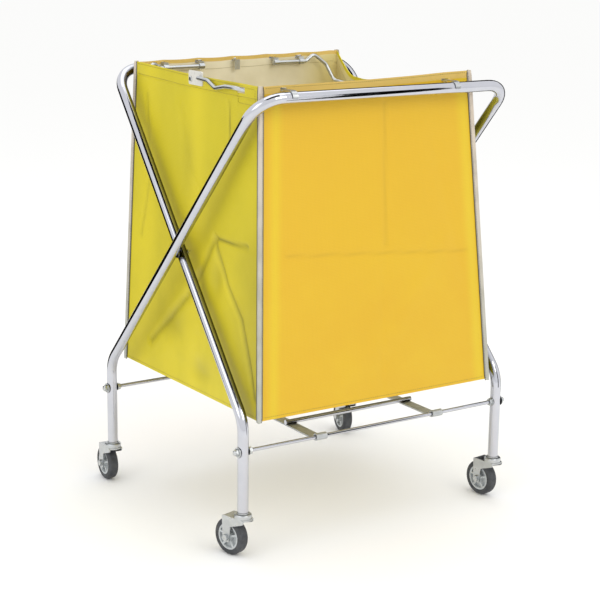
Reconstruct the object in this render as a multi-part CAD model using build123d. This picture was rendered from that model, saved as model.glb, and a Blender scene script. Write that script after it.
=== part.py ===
"""Folding linen trolley: two bent-tube frames crossed like an X, a soft bag hung between their top bars,
four swivel casters, two lower tie rods, a folding bottom rack and two folding top stays.

Millimetres, +Z up, +Y towards the rear, origin under the middle of the trolley on the floor.
"""

import os
from math import atan2, cos, degrees, hypot, pi, radians, sin, tan

from build123d import *

# ---------------------------------------------------------------- driving dimensions
Y_SHIFT = -3.6            # moves the fold plane so that the outline is centred on the origin

TUBE_D = 22.2             # 7/8 inch chromed tube
TUBE_WALL = 1.2
LEG_BOTTOM = 95.0         # underside of the legs, on top of the casters
KNEE_Z = 279.0            # where the slanting tube turns into an upright leg
BAR_Z = 905.0             # top bar axis
BAR_Y = 307.0             # top bars, in front of and behind the fold plane
LEG_Y = 256.0             # legs, in front of and behind the fold plane
TOP_HALF = 295.0          # half width of a frame at the top bar
LEG_HALF = 317.0          # half width of a frame at the legs
SIDE_OFFSET = 12.0        # the frames sit this far left and right of the middle
TOP_BEND = 55.0
KNEE_BEND = 70.0

PIVOT_Z = BAR_Z - (BAR_Z - KNEE_Z) * BAR_Y / (BAR_Y + LEG_Y)
PIVOT_D = 6.0

ROD_D = 8.0
ROD_Z = 219.0

STRAP_W = 25.0
STRAP_T = 3.0
FRONT_STRAP_X = (-124.0, 168.0)
REAR_STRAP_X = (-95.0, 139.0)
CROSS_BAR_D = 10.0
CROSS_BAR_IN = 108.0      # from the tie rod to the cross bar

WHEEL_D = 75.0
TYRE_W = 22.0
TRAIL = 31.0
AXLE_D = 8.0
CASTER_TURN = {"fl": 14.0, "fr": 6.0, "rl": -3.0, "rr": -12.0}

STAY_D = 8.0
STAY_Y = 262.0
STAY_Z = 908.0
LEFT_JOINT_Z = 913.0
RIGHT_JOINT_Z = 872.0

CLOTH = 1.0               # coated fabric with its seam and hem thickness
BAG_Y = 276.0             # outer face of the front and rear panels
FRONT_TOP = ((-284.0, 924.0), (206.0, 933.0))
FRONT_BOTTOM = ((-282.0, 281.0), (287.0, 281.0))
REAR_TOP = ((-250.0, 923.0), (267.0, 928.0))
REAR_BOTTOM = ((-284.0, 277.0), (287.0, 277.0))
RIGHT_SAG = ((-150.0, 905.0), (0.0, 888.0), (150.0, 873.0), (212.0, 876.0), (250.0, 905.0))
PIPING_D = 5.0

FRONT_HANGER_X = (-234.0, 145.0)
REAR_HANGER_X = (-186.0, -99.0, 93.0, 160.0)
REAR_CENTRE_X = -8.0


# ---------------------------------------------------------------- helpers
def bent_path(points, radii):
    """A wire through the points, with each inner corner rounded to its radius."""
    pts = [Vector(*p) for p in points]
    edges = []
    start = pts[0]
    for i in range(1, len(pts) - 1):
        before = (pts[i - 1] - pts[i]).normalized()
        after = (pts[i + 1] - pts[i]).normalized()
        half = before.get_angle(after) / 2
        if half > 89.5:
            continue
        run = radii[i - 1] / tan(radians(half))
        bisector = (before + after).normalized()
        centre = pts[i] + bisector * (radii[i - 1] / sin(radians(half)))
        middle = centre - bisector * radii[i - 1]
        bend_start = pts[i] + before * run
        bend_end = pts[i] + after * run
        edges.append(Edge.make_line(start, bend_start))
        edges.append(Edge.make_three_point_arc(bend_start, middle, bend_end))
        start = bend_end
    edges.append(Edge.make_line(start, pts[-1]))
    return Wire(edges)


def swept(path, radius):
    """A round bar along a wire."""
    section = Plane(origin=path @ 0, z_dir=path % 0) * Circle(radius)
    return sweep(section, path=path)


def rod(points, radii, diameter):
    return swept(bent_path(points, radii), diameter / 2)


def along_x(radius, x0, x1, y, z):
    """A cylinder parallel to X."""
    place = Plane(origin=(x0, y, z), x_dir=(0, 1, 0), z_dir=(1, 0, 0))
    return extrude(place * Circle(radius), x1 - x0)


def dome(x_base, x_top, radius, rounding, y, z):
    """A short round cap whose far rim is rounded."""
    x0, x1 = sorted((x_base, x_top))
    cap = along_x(radius, x0, x1, y, z)
    rims = cap.edges().filter_by(GeomType.CIRCLE).sort_by(Axis.X)
    rim = rims[-1] if x_top > x_base else rims[0]
    return fillet(rim, rounding)


def hexagon_x(across_flats, x0, x1, y, z):
    place = Plane(origin=(x0, y, z), x_dir=(0, 1, 0), z_dir=(1, 0, 0))
    return extrude(place * RegularPolygon(across_flats / 2, 6, major_radius=False), x1 - x0)


def box(x0, x1, y0, y1, z0, z1):
    centre = ((x0 + x1) / 2, (y0 + y1) / 2, (z0 + z1) / 2)
    return Pos(*centre) * Box(x1 - x0, y1 - y0, z1 - z0)


def side_profile(sketch, x0, x1):
    """A sketch drawn in Y and Z, pulled along X."""
    place = Plane(origin=(x0, 0, 0), x_dir=(0, 1, 0), z_dir=(1, 0, 0))
    return extrude(place * sketch, x1 - x0, dir=(1, 0, 0))


def mix(a, b, t):
    return a + (b - a) * t


def save(node, *shapes):
    """One STEP per node, every solid a separate one."""
    solids = []
    for shape in shapes:
        moved = Pos(0, Y_SHIFT, 0) * shape
        solids.extend(moved.solids())
    out = solids[0] if len(solids) == 1 else Compound(children=solids)
    out.label = node
    export_step(out, f"parts/{node}.step")


# ---------------------------------------------------------------- tube frames
def frame_points(side, middle_x):
    """Leg, knee, top corner, top corner, knee, leg; side is -1 for a top bar at the front."""
    left_top = middle_x - TOP_HALF
    right_top = middle_x + TOP_HALF
    left_leg = middle_x - LEG_HALF
    right_leg = middle_x + LEG_HALF
    return [
        (left_leg, -side * LEG_Y, LEG_BOTTOM),
        (left_leg, -side * LEG_Y, KNEE_Z),
        (left_top, side * BAR_Y, BAR_Z),
        (right_top, side * BAR_Y, BAR_Z),
        (right_leg, -side * LEG_Y, KNEE_Z),
        (right_leg, -side * LEG_Y, LEG_BOTTOM),
    ]


def frame_tube(side, middle_x):
    path = bent_path(frame_points(side, middle_x), [KNEE_BEND, TOP_BEND, TOP_BEND, KNEE_BEND])
    tube = swept(path, TUBE_D / 2) - swept(path, TUBE_D / 2 - TUBE_WALL)
    leg_y = -side * LEG_Y
    for x in (middle_x - LEG_HALF, middle_x + LEG_HALF):
        tube -= along_x(ROD_D / 2 + 0.2, x - 20, x + 20, leg_y, ROD_Z)
    return tube


def pivot_half_width():
    """Half width of a frame at the height of the pivot."""
    return mix(TOP_HALF, LEG_HALF, (BAR_Z - PIVOT_Z) / (BAR_Z - KNEE_Z))


def pivots(hand):
    """Bolt, spacer, lock nut and the two tube holes of one crossing; hand is -1 on the left."""
    half = pivot_half_width()
    inner_x = hand * (half - SIDE_OFFSET)
    outer_x = hand * (half + SIDE_OFFSET)
    head_face = inner_x - hand * (TUBE_D / 2 + 0.3)
    end = outer_x - hand * (TUBE_D / 2 - 5.0)
    shank = along_x(PIVOT_D / 2, min(head_face, end), max(head_face, end), 0, PIVOT_Z)
    head_end = head_face - hand * 2.6
    head = along_x(6.0, min(head_face, head_end), max(head_face, head_end), 0, PIVOT_Z)
    gap = (inner_x + outer_x) / 2
    spacer = along_x(9.0, gap - 0.55, gap + 0.55, 0, PIVOT_Z)
    spacer -= along_x(PIVOT_D / 2 + 0.2, gap - 3, gap + 3, 0, PIVOT_Z)
    insert_a = outer_x - hand * (TUBE_D / 2 - TUBE_WALL - 1.1)
    insert_b = insert_a + hand * 3.2
    insert = along_x(4.2, min(insert_a, insert_b), max(insert_a, insert_b), 0, PIVOT_Z)
    insert -= along_x(PIVOT_D / 2 + 0.1, insert_a - 9, insert_a + 9, 0, PIVOT_Z)
    drill = along_x(PIVOT_D / 2 + 0.25, min(head_face, outer_x), max(head_face, outer_x), 0, PIVOT_Z)
    return shank + head, spacer, insert, drill


# ---------------------------------------------------------------- tie rods
def tie_rod(leg_y, middle_x):
    left = middle_x - LEG_HALF
    right = middle_x + LEG_HALF
    return along_x(ROD_D / 2, left - TUBE_D / 2 - 7, right + TUBE_D / 2 + 7, leg_y, ROD_Z)


def cap_nuts(leg_y, middle_x):
    """Domed nuts with a wide washer outside each leg, plain nuts inside."""
    nuts = []
    for hand in (-1, 1):
        leg = middle_x + hand * LEG_HALF
        face = leg + hand * (TUBE_D / 2 + 0.05)
        washer_end = face + hand * 1.6
        hex_end = washer_end + hand * 4.5
        outer = along_x(10.5, min(face, washer_end), max(face, washer_end), leg_y, ROD_Z)
        outer += hexagon_x(13.0, min(washer_end, hex_end), max(washer_end, hex_end), leg_y, ROD_Z)
        outer += dome(hex_end - hand * 0.5, hex_end + hand * 4.2, 5.9, 3.0, leg_y, ROD_Z)
        inner_face = leg - hand * (TUBE_D / 2 + 0.05)
        inner_washer = inner_face - hand * 1.4
        inner_end = inner_washer - hand * 6.0
        inner = along_x(8.5, min(inner_face, inner_washer), max(inner_face, inner_washer), leg_y, ROD_Z)
        inner += hexagon_x(13.0, min(inner_washer, inner_end), max(inner_washer, inner_end), leg_y, ROD_Z)
        bore_a = leg + hand * 5
        bore_b = leg + hand * (TUBE_D / 2 + 7.3)
        outer -= along_x(ROD_D / 2 + 0.05, min(bore_a, bore_b), max(bore_a, bore_b), leg_y, ROD_Z)
        inner -= along_x(ROD_D / 2 + 0.05, inner_face - 20, inner_face + 20, leg_y, ROD_Z)
        nuts += [outer, inner]
    return nuts


# ---------------------------------------------------------------- bottom rack
def curl(y, z, x0, x1, inner):
    """The rolled eye at the end of a strap."""
    return along_x(inner + STRAP_T, x0, x1, y, z) - along_x(inner, x0 - 1, x1 + 1, y, z)


def rack_strap(x, y_rod, y_end, curled_end):
    x0 = x - STRAP_W / 2
    x1 = x + STRAP_W / 2
    inner = ROD_D / 2 + 0.3
    plane_top = ROD_Z - inner
    strap = box(x0, x1, min(y_rod, y_end), max(y_rod, y_end), plane_top - STRAP_T, plane_top)
    strap += curl(y_rod, ROD_Z, x0, x1, inner)
    if curled_end:
        strap += curl(y_end, ROD_Z, x0, x1, inner)
    for y in (y_rod, y_end) if curled_end else (y_rod,):
        strap -= along_x(inner, x0 - 1, x1 + 1, y, ROD_Z)
    return strap


# ---------------------------------------------------------------- casters
def caster(name):
    """Stem, swivel cap, fork, axle, hub and tyre, standing under the origin and trailing to +Y."""
    axle_z = WHEEL_D / 2
    stem = Pos(0, 0, LEG_BOTTOM + 22) * Cylinder(TUBE_D / 2 - TUBE_WALL - 0.3, 44)
    stem += Pos(0, 0, LEG_BOTTOM - 1.2) * Cylinder(12.6, 2.0)
    stem += Pos(0, 0, LEG_BOTTOM - 7) * Cylinder(5.0, 14)

    cap_profile = Pos(0, 0, 87.6) * Cylinder(17.5, 9.0)
    cap = fillet(cap_profile.edges().group_by(Axis.Z)[-1], 3.0)
    cap -= Pos(0, 0, 87.6) * Cylinder(5.4, 10)

    plate = Pos(0, 0, 81.4) * Cylinder(19.0, 3.0)
    plate += box(-15.5, 15.5, 0, TRAIL + 8, 79.9, 82.9)
    plate = plate & box(-15.5, 15.5, -25, TRAIL + 8, 70, 90)
    outline = Polygon(
        (-17, 82.9), (TRAIL + 12, 82.9), (TRAIL + 10, axle_z + 4), (TRAIL + 8, axle_z - 9), (TRAIL - 8, axle_z - 9),
        (TRAIL - 11, 62), (-13, 74), align=None,
    )
    outline = fillet(outline.vertices(), 4.0)
    fork = plate
    for side in (-1, 1):
        inner = side * 13.0
        outer = side * 15.5
        fork += side_profile(outline, min(inner, outer), max(inner, outer))
    fork -= Pos(0, 0, 81.4) * Cylinder(5.4, 10)
    fork -= along_x(AXLE_D / 2 + 0.05, -20, 20, TRAIL, axle_z)

    axle = along_x(AXLE_D / 2, -17.0, 19.5, TRAIL, axle_z)
    axle += hexagon_x(12.0, -20.5, -15.8, TRAIL, axle_z)
    nut = hexagon_x(12.0, 15.8, 21.0, TRAIL, axle_z)
    nut -= along_x(AXLE_D / 2 + 0.05, 15, 22, TRAIL, axle_z)

    tyre = along_x(WHEEL_D / 2, -TYRE_W / 2, TYRE_W / 2, TRAIL, axle_z)
    tyre = fillet(tyre.edges().filter_by(GeomType.CIRCLE), 5.5)
    tyre -= along_x(27.0, -20, 20, TRAIL, axle_z)

    hub = along_x(26.9, -10.0, 10.0, TRAIL, axle_z)
    for side in (-1, 1):
        inner = side * 3.0
        outer = side * 12.0
        groove = along_x(23.0, min(inner, outer), max(inner, outer), TRAIL, axle_z)
        groove -= along_x(9.5, min(inner, outer) - 1, max(inner, outer) + 1, TRAIL, axle_z)
        for k in range(5):
            turn = Pos(0, TRAIL, axle_z) * Rot(72 * k, 0, 0) * Pos(0, 0, 16)
            groove -= turn * Box(40, 4.0, 18)
        hub -= groove
    hub += along_x(9.4, -12.4, 12.4, TRAIL, axle_z)
    hub -= along_x(AXLE_D / 2 + 0.15, -20, 20, TRAIL, axle_z)

    return {"stem": stem, "swivel_cap": cap, "fork": fork, "axle": [axle, nut], "hub": hub, "tyre": tyre}


# ---------------------------------------------------------------- bag
def side_x(front, rear, y):
    return mix(front, rear, (y + BAG_Y) / (2 * BAG_Y))


def edge_at(edge_top, edge_bottom, z):
    """X of a panel's slanting edge at a height."""
    t = (z - edge_bottom[1]) / (edge_top[1] - edge_bottom[1])
    return mix(edge_bottom[0], edge_top[0], t)


def front_rear_panel(top, bottom, y0, y1):
    corners = [top[0], top[1], bottom[1], bottom[0]]
    place = Plane(origin=(0, y1, 0), x_dir=(1, 0, 0), z_dir=(0, -1, 0))
    return extrude(place * Polygon(*corners, align=None), y1 - y0, dir=(0, -1, 0))


def side_section(y, top, bottom, inward):
    """A thin upright four-sided section of a side panel at y."""
    corners = [
        (top[0], y, top[1]), (top[0] + inward, y, top[1]),
        (bottom[0] + inward, y, bottom[1]), (bottom[0], y, bottom[1]),
    ]
    return Wire.make_polygon([Vector(*c) for c in corners])


def side_panel(index, inward, sag):
    """Left panel has index 0, right panel index 1; sag lists lower points of the top edge."""
    y_end = BAG_Y - CLOTH - 0.3
    stations = [(-y_end, None)] + list(sag) + [(y_end, None)]
    sections = []
    for y, lowered in stations:
        t = (y + BAG_Y) / (2 * BAG_Y)
        bottom = (mix(FRONT_BOTTOM[index][0], REAR_BOTTOM[index][0], t), mix(FRONT_BOTTOM[index][1], REAR_BOTTOM[index][1], t))
        full = mix(FRONT_TOP[index][1], REAR_TOP[index][1], t)
        height = full if lowered is None else lowered
        front_x = edge_at(FRONT_TOP[index], FRONT_BOTTOM[index], height)
        rear_x = edge_at(REAR_TOP[index], REAR_BOTTOM[index], height)
        sections.append(side_section(y, (mix(front_x, rear_x, t), height), bottom, inward))
    return Solid.make_loft(sections, ruled=True)


def bag_panels():
    front = front_rear_panel(FRONT_TOP, FRONT_BOTTOM, -BAG_Y, -BAG_Y + CLOTH)
    rear = front_rear_panel(REAR_TOP, REAR_BOTTOM, BAG_Y - CLOTH, BAG_Y)
    left = side_panel(0, CLOTH, ())
    right = side_panel(1, -CLOTH, RIGHT_SAG)
    floor_sections = []
    for y, row in ((-BAG_Y + CLOTH + 0.3, FRONT_BOTTOM), (BAG_Y - CLOTH - 0.3, REAR_BOTTOM)):
        x0 = row[0][0] + CLOTH + 0.8
        x1 = row[1][0] - CLOTH - 0.8
        z = row[0][1] + 2.0
        corners = [(x0, y, z), (x1, y, z), (x1, y, z + CLOTH), (x0, y, z + CLOTH)]
        floor_sections.append(Wire.make_polygon([Vector(*c) for c in corners]))
    floor = Solid.make_loft(floor_sections, ruled=True)
    for x in FRONT_HANGER_X:
        front -= box(x - 7, x + 7, -BAG_Y - 3, -BAG_Y + 4, 915.4, 919.6)
    for x in REAR_HANGER_X + (REAR_CENTRE_X,):
        rear -= box(x - 7, x + 7, BAG_Y - 4, BAG_Y + 3, 915.4, 919.6)
    left -= box(-300, -255, -218, -186, 905.5, 918.0)
    left -= along_x(4.5, -300, -255, 0, LEFT_JOINT_Z)
    right -= box(200, 250, -218, -187, 891.5, 904.0)
    right -= along_x(4.5, 200, 260, 0, RIGHT_JOINT_Z)
    return front, rear, left, right, floor


def corner_piping():
    cords = []
    step = PIPING_D / 2 + 0.3
    for index, hand in ((0, -1), (1, 1)):
        for top, bottom, depth in ((FRONT_TOP, FRONT_BOTTOM, -1), (REAR_TOP, REAR_BOTTOM, 1)):
            y = depth * (BAG_Y + step)
            upper = (top[index][0] + hand * step * 0.5, y, top[index][1])
            lower = (bottom[index][0] + hand * step * 0.5, y, bottom[index][1])
            cords.append(swept(Wire([Edge.make_line(upper, lower)]), PIPING_D / 2))
    return cords


# ---------------------------------------------------------------- hangers and stays
def hanger(x, depth, ring):
    """A strap hooked over a top bar that holds the stay's hinge rod inside the bag."""
    bar_y = depth * BAR_Y
    hinge_y = depth * STAY_Y
    y0, y1 = sorted((bar_y, hinge_y))
    profile = Pos((y0 + y1) / 2, 917.6) * Rectangle(y1 - y0 + 2.0, 2.0)
    hook = Pos(bar_y, BAR_Z) * (Circle(TUBE_D / 2 + 2.2) - Circle(TUBE_D / 2 + 0.2))
    hook &= Pos(bar_y + depth * 10, BAR_Z + 8) * Rectangle(20, 16.5)
    profile += hook
    if ring:
        profile += Pos(hinge_y, STAY_Z) * Circle(STAY_D / 2 + 2.3)
        profile += Pos(hinge_y, (STAY_Z + 918) / 2) * Rectangle(2.0, 918 - STAY_Z)
        profile -= Pos(hinge_y, STAY_Z) * Circle(STAY_D / 2 + 0.3)
    else:
        profile += Pos(hinge_y, 907.6) * Rectangle(2.0, 22.0)
    return side_profile(profile, x - 6, x + 6)


def stay_plate(face_x, hand, z, tilt):
    """Flat joint plate outside a side panel with a domed rivet through it."""
    outer = face_x + hand * 2.8
    x0, x1 = sorted((face_x, outer))
    plate = box(x0, x1, -44, 9, -11, 17)
    plate = fillet(plate.edges().filter_by(Axis.X), 4.0)
    place = Pos(0, 0, z) * Rot(tilt, 0, 0)
    head = dome(outer, outer + hand * 2.4, 5.0, 1.8, 0, 0)
    end = face_x - hand * 5.5
    s0, s1 = sorted((outer, end))
    shank = along_x(2.5, s0, s1, 0, 0)
    w0, w1 = sorted((end, end + hand * 1.0))
    rivet = shank + head + along_x(7.0, w0, w1, 0, 0)
    hole = along_x(2.55, x0 - 1, x1 + 1, 0, 0)
    return place * (plate - hole), place * rivet


def eye_rod(points, radii, x_mid, z):
    """A rod whose last end is flattened into a round eye at the joint."""
    body = rod(points, radii, STAY_D)
    eye = along_x(8.0, x_mid - 1.5, x_mid + 1.5, 0, z)
    return body + eye


os.makedirs("parts", exist_ok=True)

left_bolt, left_spacer, left_insert, left_drill = pivots(-1)
right_bolt, right_spacer, right_insert, right_drill = pivots(1)
front_tube = frame_tube(-1, -SIDE_OFFSET) - left_drill - right_drill
rear_tube = frame_tube(1, SIDE_OFFSET) - left_drill - right_drill
save("pivot_bolts", left_bolt, right_bolt)
save("pivot_spacers", left_spacer, right_spacer)
save("pivot_inserts", left_insert, right_insert)
save("front_bar_frame", front_tube)
save("rear_bar_frame", rear_tube)

save("rear_tie_rod", tie_rod(LEG_Y, -SIDE_OFFSET))
save("front_tie_rod", tie_rod(-LEG_Y, SIDE_OFFSET))
save("rear_rod_nuts", *cap_nuts(LEG_Y, -SIDE_OFFSET))
save("front_rod_nuts", *cap_nuts(-LEG_Y, SIDE_OFFSET))

straps_top = ROD_Z - ROD_D / 2 - 0.3
cross_z = straps_top + CROSS_BAR_D / 2 - 0.2
front_cross_y = -LEG_Y + CROSS_BAR_IN
save("front_rack_straps", *[rack_strap(x, -LEG_Y, 0, True) for x in FRONT_STRAP_X])
save("front_rack_bar", along_x(CROSS_BAR_D / 2, FRONT_STRAP_X[0] - 14, FRONT_STRAP_X[1] + 14, front_cross_y, cross_z))
save("rack_middle_rod", along_x(ROD_D / 2, FRONT_STRAP_X[0] - 24, FRONT_STRAP_X[1] + 24, 0, ROD_Z))
save("rear_rack_straps", *[rack_strap(x, LEG_Y, -22, False) for x in REAR_STRAP_X])
save("rear_rack_bar", along_x(CROSS_BAR_D / 2, REAR_STRAP_X[0] - 14, REAR_STRAP_X[1] + 14, -front_cross_y, cross_z))

stations = {
    "fl": (SIDE_OFFSET - LEG_HALF, -LEG_Y),
    "fr": (SIDE_OFFSET + LEG_HALF, -LEG_Y),
    "rl": (-SIDE_OFFSET - LEG_HALF, LEG_Y),
    "rr": (-SIDE_OFFSET + LEG_HALF, LEG_Y),
}
for name, (x, y) in stations.items():
    for piece, shapes in caster(name).items():
        group = shapes if isinstance(shapes, list) else [shapes]
        placed = [Pos(x, y, 0) * Rot(0, 0, CASTER_TURN[name]) * shape for shape in group]
        save(f"{name}_caster_{piece}", *placed)

front_panel, rear_panel, left_panel, right_panel, floor_panel = bag_panels()
save("bag_front_panel", front_panel)
save("bag_rear_panel", rear_panel)
save("bag_left_panel", left_panel)
save("bag_right_panel", right_panel)
save("bag_floor", floor_panel)
save("bag_corner_piping", *corner_piping())

save("front_hangers", *[hanger(x, -1, True) for x in FRONT_HANGER_X])
save("rear_hangers", *[hanger(x, 1, True) for x in REAR_HANGER_X])
save("rear_centre_hook", hanger(REAR_CENTRE_X, 1, False))

left_front = [
    (-140, -262, 908), (-246, -262, 908), (-270, -250, 908), (-271, -222, 909),
    (-285.5, -186, 914), (-284.5, -152, 913), (-282, -110, 905.5), (-277.2, -72, 917), (-276.7, -34, 918),
]
left_rear = [
    (-91, 262, 908), (-203, 262, 908), (-217, 259, 921), (-234, 250, 904),
    (-243, 226, 884), (-255.5, 60, 900), (-259.5, 18, 911), (-260.2, 3, 913),
]
right_front = [
    (52, -262, 908), (160, -262, 908), (194, -258, 906), (204, -226, 901),
    (228, -188, 896), (233, -152, 890), (239, -110, 874), (249.3, -72, 884), (249.6, -34, 881),
]
right_rear = [
    (86, 262, 908), (174, 262, 908), (193, 261, 923), (224, 256, 899),
    (238, 244, 864), (250, 200, 858), (233.2, 85, 860.5), (233.2, 18, 870), (233.0, 3, 872),
]
save("left_front_stay_rod", rod(left_front, [12, 12, 14, 18, 22, 22, 18], STAY_D))
save("left_rear_stay_rod", eye_rod(left_rear, [10, 12, 12, 14, 30, 12], -260.5, LEFT_JOINT_Z))
save("right_front_stay_rod", rod(right_front, [12, 14, 14, 18, 22, 22, 18], STAY_D))
save("right_rear_stay_rod", eye_rod(right_rear, [10, 12, 14, 14, 30, 20, 12], 233.4, RIGHT_JOINT_Z))
tilt = -degrees(atan2(STAY_Z - RIGHT_JOINT_Z, STAY_Y))
left_plate, left_rivet = stay_plate(-270.2, -1, LEFT_JOINT_Z, 0)
right_plate, right_rivet = stay_plate(243.1, 1, RIGHT_JOINT_Z, tilt)
save("left_stay_plate", left_plate)
save("left_stay_rivet", left_rivet)
save("right_stay_plate", right_plate)
save("right_stay_rivet", right_rivet)
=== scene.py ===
import math

import bmesh
import bpy
import numpy as np
from mathutils import Matrix, Vector


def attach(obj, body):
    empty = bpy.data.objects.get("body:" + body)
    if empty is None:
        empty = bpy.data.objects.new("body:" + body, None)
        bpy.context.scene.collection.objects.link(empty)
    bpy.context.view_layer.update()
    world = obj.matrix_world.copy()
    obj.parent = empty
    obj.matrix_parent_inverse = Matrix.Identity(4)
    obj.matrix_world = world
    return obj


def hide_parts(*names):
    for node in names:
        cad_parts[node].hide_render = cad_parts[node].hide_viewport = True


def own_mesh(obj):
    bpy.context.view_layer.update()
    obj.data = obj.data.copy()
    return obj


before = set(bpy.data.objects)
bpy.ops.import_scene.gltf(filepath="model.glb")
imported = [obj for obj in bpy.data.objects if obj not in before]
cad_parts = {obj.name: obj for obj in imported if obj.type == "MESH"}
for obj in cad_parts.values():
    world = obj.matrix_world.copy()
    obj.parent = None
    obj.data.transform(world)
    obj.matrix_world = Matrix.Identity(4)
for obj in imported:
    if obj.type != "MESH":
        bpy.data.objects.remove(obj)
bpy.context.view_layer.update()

MM = 0.001
FOLD_Y = -3.6              # the fold plane, in millimetres behind the middle of the floor outline

# The linen bag, in millimetres. Fronts and rears run along X, sides along Y.
BAG_DEPTH = 276.0
CLOTH = 1.0
HEM = 27.0
HEM_LAYER = 0.7
FRONT_BOTTOM = 281.0
REAR_BOTTOM = 277.0
LEFT_EDGE = {"front": ((-284.0, 924.0), (-282.0, FRONT_BOTTOM)),
             "rear": ((-250.0, 923.0), (-284.0, REAR_BOTTOM))}
RIGHT_EDGE = {"front": ((206.0, 933.0), (287.0, FRONT_BOTTOM)),
              "rear": ((267.0, 928.0), (287.0, REAR_BOTTOM))}
RIGHT_RIM_Y = (-276.0, -150.0, 0.0, 150.0, 212.0, 250.0, 276.0)
RIGHT_RIM_Z = (933.0, 905.0, 888.0, 873.0, 876.0, 905.0, 928.0)
FRONT_HANGERS = (-234.0, 145.0)
REAR_HANGERS = (-186.0, -99.0, -8.0, 93.0, 160.0)
LEFT_SLOT = (-218.0, -186.0, 905.5, 918.0)
RIGHT_SLOT = (-218.0, -187.0, 891.5, 904.0)
LEFT_PATCH = (-262.0, -190.0, 884.0, 920.0)
RIGHT_PATCH = (-262.0, -180.0, 876.0, 908.0)
GRID = 6.0                 # cloth mesh spacing


# ---------------------------------------------------------------- small mesh helpers
def new_piece(name, points, faces, materials, face_materials=None, sharp=35):
    mesh = bpy.data.meshes.new(name)
    mesh.from_pydata([tuple(p) for p in points], [], faces)
    for material in materials:
        mesh.materials.append(material)
    if face_materials is not None:
        mesh.polygons.foreach_set("material_index", np.array(face_materials, dtype=np.int32))
    mesh.polygons.foreach_set("use_smooth", [True] * len(mesh.polygons))
    mesh.set_sharp_from_angle(angle=math.radians(sharp))
    mesh.update()
    piece = bpy.data.objects.new(name, mesh)
    bpy.context.collection.objects.link(piece)
    return piece


def smooth_step(x):
    x = np.clip(x, 0.0, 1.0)
    return x * x * (3.0 - 2.0 * x)


def hang_on_bag(piece):
    """Rides the bag's body, on a mesh of its own."""
    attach(piece, "bag")
    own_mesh(piece)


# ---------------------------------------------------------------- colours and nodes
def colour(hex_code):
    """An sRGB hex colour as linear RGBA."""
    parts = [int(hex_code[i:i + 2], 16) / 255 for i in (1, 3, 5)]
    linear = [p / 12.92 if p <= 0.04045 else ((p + 0.055) / 1.055) ** 2.4 for p in parts]
    return (*linear, 1.0)


def add(tree, kind, values=None, links=None, **settings):
    """Adds one node; values go on its sockets, links bring in (node, output) pairs."""
    node = tree.nodes.new(kind)
    for key, value in settings.items():
        setattr(node, key, value)
    for key, value in (values or {}).items():
        node.inputs[key].default_value = value
    for key, (source, output) in (links or {}).items():
        tree.links.new(source.outputs[output], node.inputs[key])
    return node


def blank_material(name):
    material = bpy.data.materials.new(name)
    material.use_nodes = True
    material.node_tree.nodes.clear()
    return material, material.node_tree


def stripes_scale(pitch_mm):
    """Wave texture scale whose stripes repeat every pitch_mm millimetres."""
    return 2 * math.pi / 20.0 / (pitch_mm * MM)


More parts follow.
